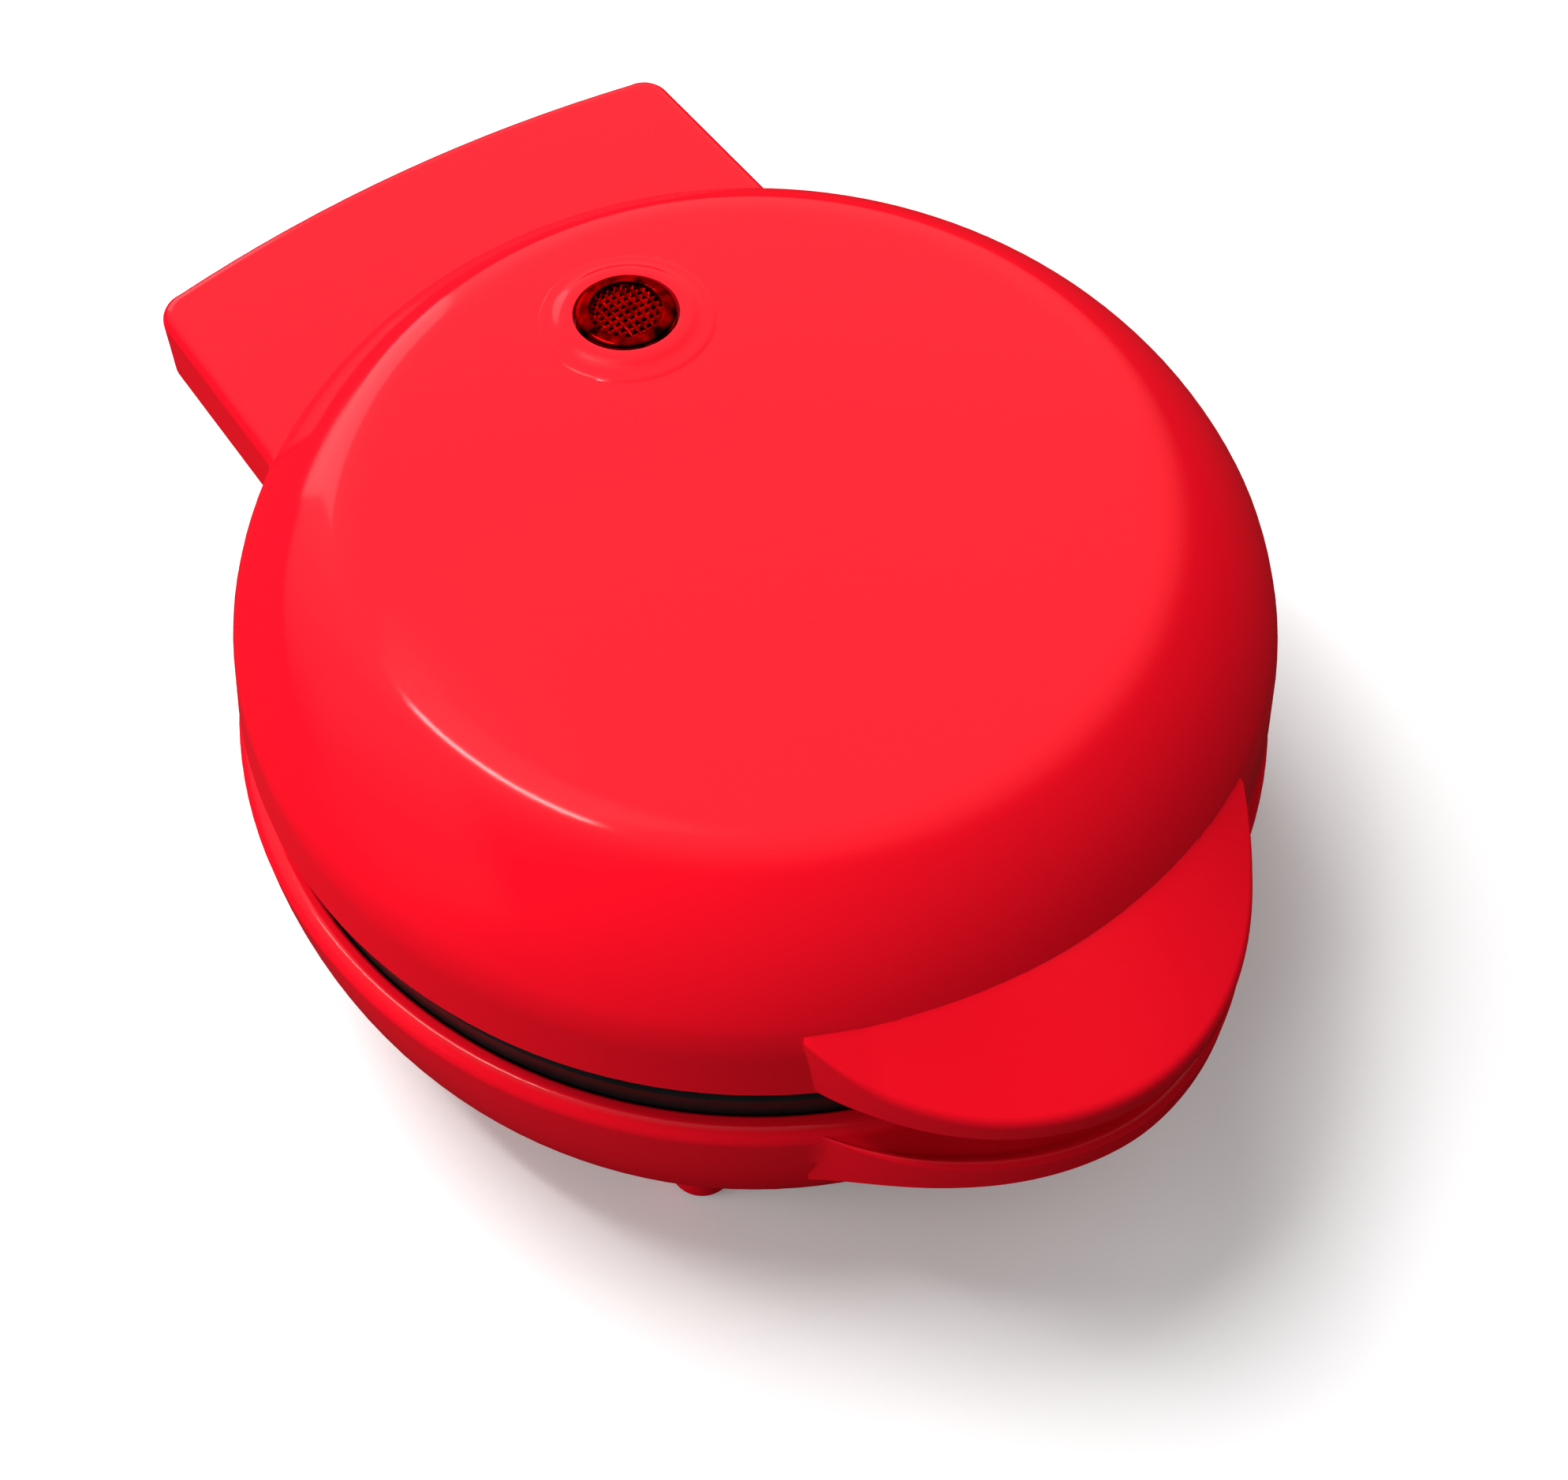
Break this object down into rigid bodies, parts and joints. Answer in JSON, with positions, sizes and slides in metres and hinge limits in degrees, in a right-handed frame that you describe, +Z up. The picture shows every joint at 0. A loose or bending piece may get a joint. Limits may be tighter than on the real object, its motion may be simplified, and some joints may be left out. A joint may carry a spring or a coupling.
{
  "type": "mini waffle maker",
  "caption": "Small round waffle iron with a domed lid hinged under a rear hood, a front tab for lifting, a bowl base with a lip and black grid plates.",
  "frame": {"origin": "on the worktop, under the middle of the object's box", "axes": "+Z up, -Y to the lifting tab at the front, +Y to the hinge at the back, +X to the user's right"},
  "size_m": [0.1392, 0.1728, 0.0808],
  "materials": {
    "red_moulding": "glossy moulded red phenolic or polypropylene",
    "nonstick_plate": "die-cast aluminium with a black satin non-stick coating",
    "element_sheath": "oxidised steel sheath",
    "shield_sheet": "aluminised pressed sheet",
    "steel": "bright plated steel",
    "dark_nylon": "heat-resistant nylon",
    "lead_insulation": "woven silicone sleeving",
    "ceramic": "glazed ceramic body",
    "lens_red": "clear red lens, diamond-cut face",
    "lamp_glass": "neon lamp glass",
    "foot_rubber": "soft black rubber"
  },
  "bodies": {
    "base": {"base_shell": "red_moulding", "lower_plate": "nonstick_plate", "lower_element": "element_sheath", "lower_heat_shield": "shield_sheet", "thermal_fuse": "steel", "terminal_block": "dark_nylon", "cord_gland": "dark_nylon", "hinge_pin_left": "steel", "hinge_pin_right": "steel", "element_lead_left": "lead_insulation", "element_lead_right": "lead_insulation", "base_screw_1": "steel", "base_screw_2": "steel", "base_screw_3": "steel", "foot_pad_front_left": "foot_rubber", "foot_pad_front_right": "foot_rubber", "foot_pad_rear_left": "foot_rubber", "foot_pad_rear_right": "foot_rubber"},
    "lid": {"lid_shell": "red_moulding", "upper_plate": "nonstick_plate", "upper_element": "element_sheath", "upper_heat_shield": "shield_sheet", "thermostat": "ceramic", "indicator_lens": "lens_red", "lamp_holder": "dark_nylon", "neon_lamp": "lamp_glass", "lamp_lead_left": "lead_insulation", "lamp_lead_right": "lead_insulation", "lid_screw_1": "steel", "lid_screw_2": "steel", "lid_screw_3": "steel"}
  },
  "joints": [
    {"name": "lid_hinge", "type": "hinge", "parent": "base", "child": "lid", "pos_m": [0, 0.074, 0.0545], "axis": [-1, 0, 0], "range_deg": [0, 100]}
  ]
}
